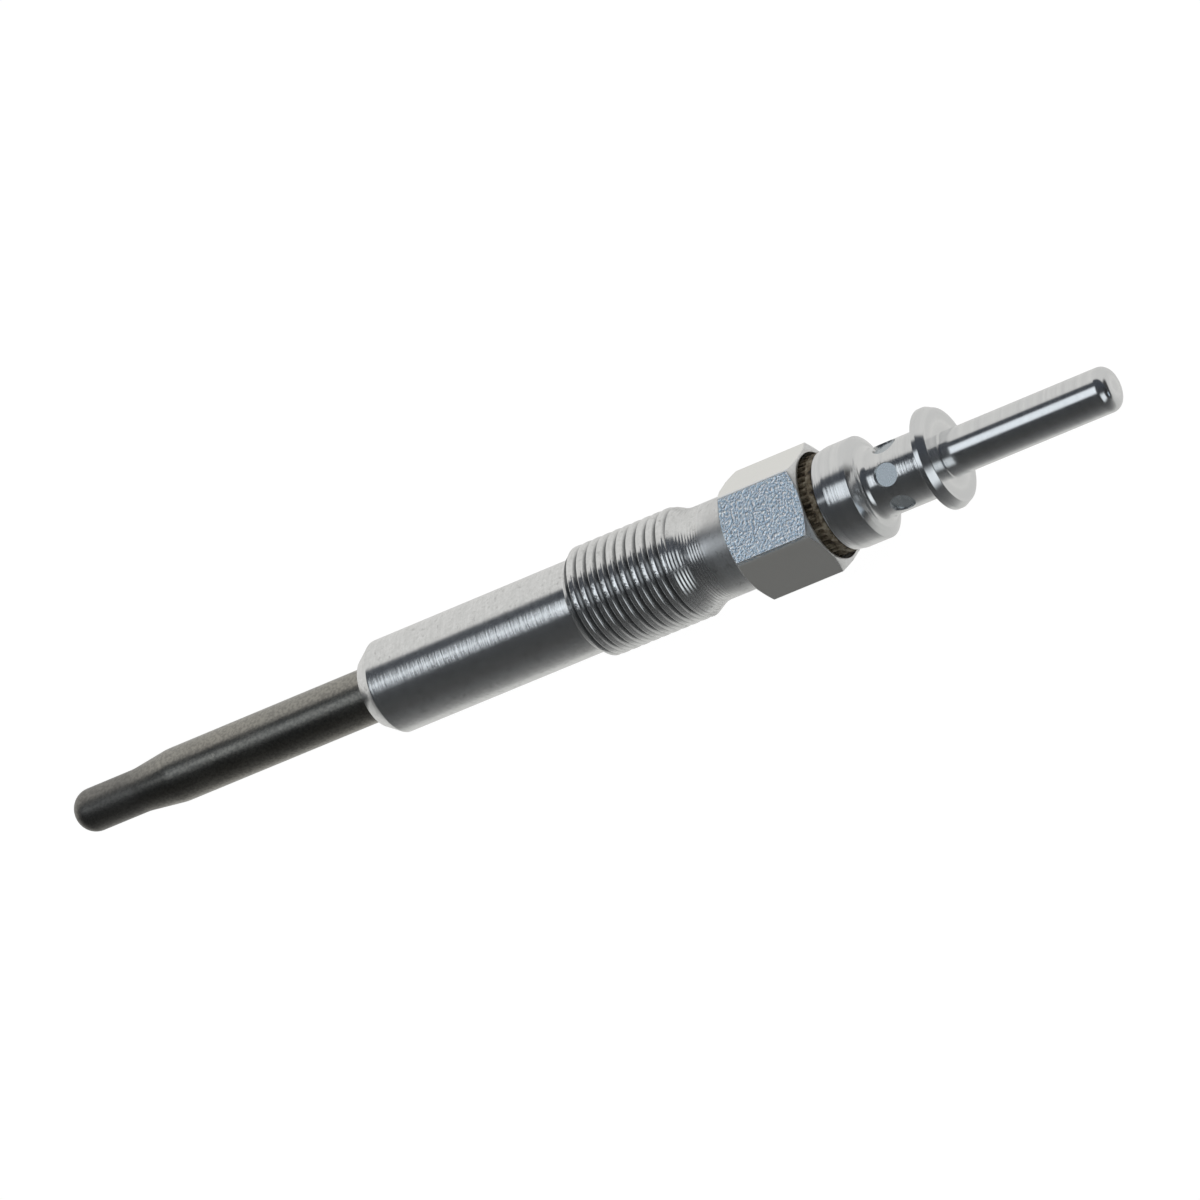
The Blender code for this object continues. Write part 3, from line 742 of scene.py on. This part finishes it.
for node, bloom in (("tube_seal", 0.035), ("body_seal", 0.028)):
    rubber_finish = Finish(bpy.data.materials.new(node + "_rubber"))
    haze = rubber_finish.noise(rubber_finish.where(), scale=700.0, detail=3.0, roughness=0.6)
    rubber_finish.surface(
        Base_Color=rubber_finish.mixed(haze, (0.012, 0.012, 0.013), (bloom, bloom, bloom)),
        Roughness=0.45 + 0.25 * haze,
        Normal=rubber_finish.bump(haze, depth=0.01 * MM),
    )
    finish_inside(node, rubber_finish)


# Centre rod: bright drawn steel that carries the current from the terminal to the coils.
# Its thinner stem reaches into the sheath, where the regulating coil is fixed round it.

rod_finish = Finish(bpy.data.materials.new("drawn_steel_rod"))
die_lines = rod_finish.noise(rod_finish.where(), scale=1800.0)
rod_finish.surface(
    Base_Color=rod_finish.mixed(die_lines, (0.46, 0.45, 0.43), (0.62, 0.61, 0.59)),
    Metallic=1.0,
    Roughness=0.28 + 0.12 * die_lines,
    Normal=rod_finish.bump(die_lines, depth=0.004 * MM),
)
finish_inside("centre_rod", rod_finish)


# Table: a plain white sheet that the plug lies on. It keeps the plug's soft shadow, and
# the camera sees the rest of it as clean white.

TABLE_RADIUS = 3.0
TABLE_GLOW = 1.16
GLOW_SHARE = 0.84
bpy.ops.object.select_all(action="DESELECT")
bpy.ops.mesh.primitive_circle_add(
    vertices=96, radius=TABLE_RADIUS, fill_type="NGON", location=(0, 0, 0))
table = bpy.context.active_object
table.name = table.data.name = "white_table"
bpy.ops.object.mode_set(mode="EDIT")
bpy.ops.mesh.inset(thickness=TABLE_RADIUS / 2)
bpy.ops.object.mode_set(mode="OBJECT")
table_finish = Finish(bpy.data.materials.new("white_sheet"))
table_finish.surface(Base_Color=(0.85, 0.85, 0.85), Roughness=0.9, Specular_IOR_Level=0.0)
lit = Reading(table_finish, table_finish.tree.nodes["Principled BSDF"].outputs[0])
glow = table_finish.node(
    "ShaderNodeEmission", {}, {"Color": (1.0, 1.0, 1.0), "Strength": TABLE_GLOW})
seen = table_finish.node("ShaderNodeLightPath", {}, {}, output="Is Camera Ray")
sheet = table_finish.node("ShaderNodeMixShader", {}, {0: seen * GLOW_SHARE, 1: lit, 2: glow})
table_finish.fill(table_finish.tree.nodes["Material Output"].inputs["Surface"], sheet)
table.data.materials.append(table_finish.owner)
table.visible_glossy = False


# Studio: what lights the plug, by the angle round its length from the table's front edge
# (0) up over the plug (90) and down behind it (180): black card in front, a strip light
# overhead, a window in front toward the pin, and a pale room behind and below.

world = bpy.data.worlds.new("studio")
bpy.context.scene.world = world
studio = Finish(world)
looking = studio.node("ShaderNodeTexCoord", {}, {}, output="Generated")
ahead = studio.part(looking, "X")
turn = studio.node(
    "ShaderNodeMath", {"operation": "ARCTAN2"},
    {0: studio.part(looking, "Z"), 1: studio.part(looking, "Y") * -1.0})
ROOM = (0.71, 0.705, 0.69)
BANDS = [
    (-180, ROOM),
    (-104, ROOM),
    (-60, (0.62, 0.62, 0.60)),
    (-48, (0.40, 0.40, 0.39)),
    (-33, (0.24, 0.24, 0.235)),
    (-20, (0.15, 0.15, 0.148)),
    (0, (0.075, 0.076, 0.076)),
    (20, (0.036, 0.0355, 0.034)),
    (50, (0.021, 0.022, 0.0225)),
    (132, (0.024, 0.030, 0.042)),
    (139, (0.73, 0.725, 0.71)),
    (180, ROOM),
]
room = studio.ramp(
    turn / math.tau + 0.5, *[((angle + 180) / 360, colour) for angle, colour in BANDS])


def between(value, start, end, before=0.0, after=1.0):
    """A soft step from one level to another as the value passes from start to end."""
    return studio.fade(value, start, end, before, after, curve="SMOOTHSTEP")


def from_middle(angle):
    """Angle away from this one round the plug."""
    return studio.node(
        "ShaderNodeMath", {"operation": "ABSOLUTE"}, {0: turn - math.radians(angle)})


open_end = between(ahead, 0.80, 0.93, before=1.0, after=0.03)
room = studio.mixed(open_end, (0.0, 0.0, 0.0), room)
behind = between(turn, math.radians(147.0), math.radians(139.0))
behind = behind * between(turn, math.radians(95.0), math.radians(115.0))
room = studio.mixed(behind * between(ahead, -0.36, -0.30), room, (0.024, 0.030, 0.042))

STRIP_MIDDLE = 93.5
STRIP_LEVEL = 0.665
half_width = between(ahead, -0.455, -0.42, before=4.6, after=17.5)
strip = between(from_middle(STRIP_MIDDLE) / math.radians(1.0) / half_width, 1.25, 0.70)
reach = between(ahead, -0.47, -0.425, before=0.50, after=1.5)
reach = reach * between(ahead, -0.39, -0.41, before=0.70, after=1.0)
reach = reach * between(ahead, -0.12, -0.36)
lights = studio.mixed(strip * reach * STRIP_LEVEL, room, (1.35, 1.44, 1.52))

WINDOW_MIDDLE = 44.0
WINDOW_HALF_WIDTH = math.radians(27.0)
window = between(from_middle(WINDOW_MIDDLE) / WINDOW_HALF_WIDTH, 1.15, 0.30)
window = window * between(ahead, 0.04, 0.20) * between(ahead, 0.84, 0.68)
lights = studio.mixed(window, lights, (0.92, 0.98, 1.02))

toward_chamfer = studio.node(
    "ShaderNodeVectorMath", {"operation": "DOT_PRODUCT"},
    {0: looking, 1: (0.9665, -0.2434, -0.0824)}, output="Value")
lights = studio.mixed(between(toward_chamfer, 0.990, 0.996), lights, (0.50, 0.58, 0.66))

surroundings = studio.node("ShaderNodeBackground", {}, {"Color": lights, "Strength": 1.0})
white = studio.node("ShaderNodeBackground", {}, {"Color": (1.0, 1.0, 1.0), "Strength": 1.0})
camera_ray = studio.node("ShaderNodeLightPath", {}, {}, output="Is Camera Ray")
all_rays = studio.node("ShaderNodeMixShader", {}, {0: camera_ray, 1: surroundings, 2: white})
studio.fill(studio.tree.nodes["World Output"].inputs["Surface"], all_rays)

bpy.ops.object.select_all(action="DESELECT")
bpy.ops.object.light_add(type="AREA", location=(0, 0.06, 0.6))
softbox = bpy.context.active_object
softbox.name = "overhead_softbox"
softbox.data.shape = "RECTANGLE"
softbox.data.size = 0.7
softbox.data.size_y = 0.3
softbox.data.energy = 0.45
softbox.visible_glossy = False


# Camera: a long lens from above the pin end, rolled so that the plug climbs to the right.
# The middle of the picture lies a little left of and below the front of the thread.

TILT = math.radians(26.0)
TURN = math.radians(13.7)
ROLL = math.radians(22.56)
DISTANCE = 824.5 * MM
AIM_PLACE = 4.19 * MM
AIM_LEFT = 1.995 * MM
AIM_DOWN = 0.851 * MM
toward = Vector((
    math.sin(TILT), -math.cos(TILT) * math.sin(TURN), math.cos(TILT) * math.cos(TURN)))
along_plug = (Vector((1, 0, 0)) - math.sin(TILT) * toward).normalized()
across_plug = toward.cross(along_plug)
right = math.cos(ROLL) * along_plug - math.sin(ROLL) * across_plug
upward = math.sin(ROLL) * along_plug + math.cos(ROLL) * across_plug
aim = Vector((AIM_PLACE, 0, AXIS_HEIGHT)) - right * AIM_LEFT - upward * AIM_DOWN
turned_to = Matrix((right, upward, toward)).transposed().to_4x4()
bpy.ops.object.camera_add()
camera = bpy.context.active_object
camera.name = "camera"
camera.data.lens = 293.1
camera.data.sensor_width = 36.0
camera.data.clip_start = 0.05
camera.data.clip_end = 20.0
camera.matrix_world = Matrix.Translation(aim + toward * DISTANCE) @ turned_to
bpy.context.scene.camera = camera
bpy.context.scene.view_settings.view_transform = "Standard"
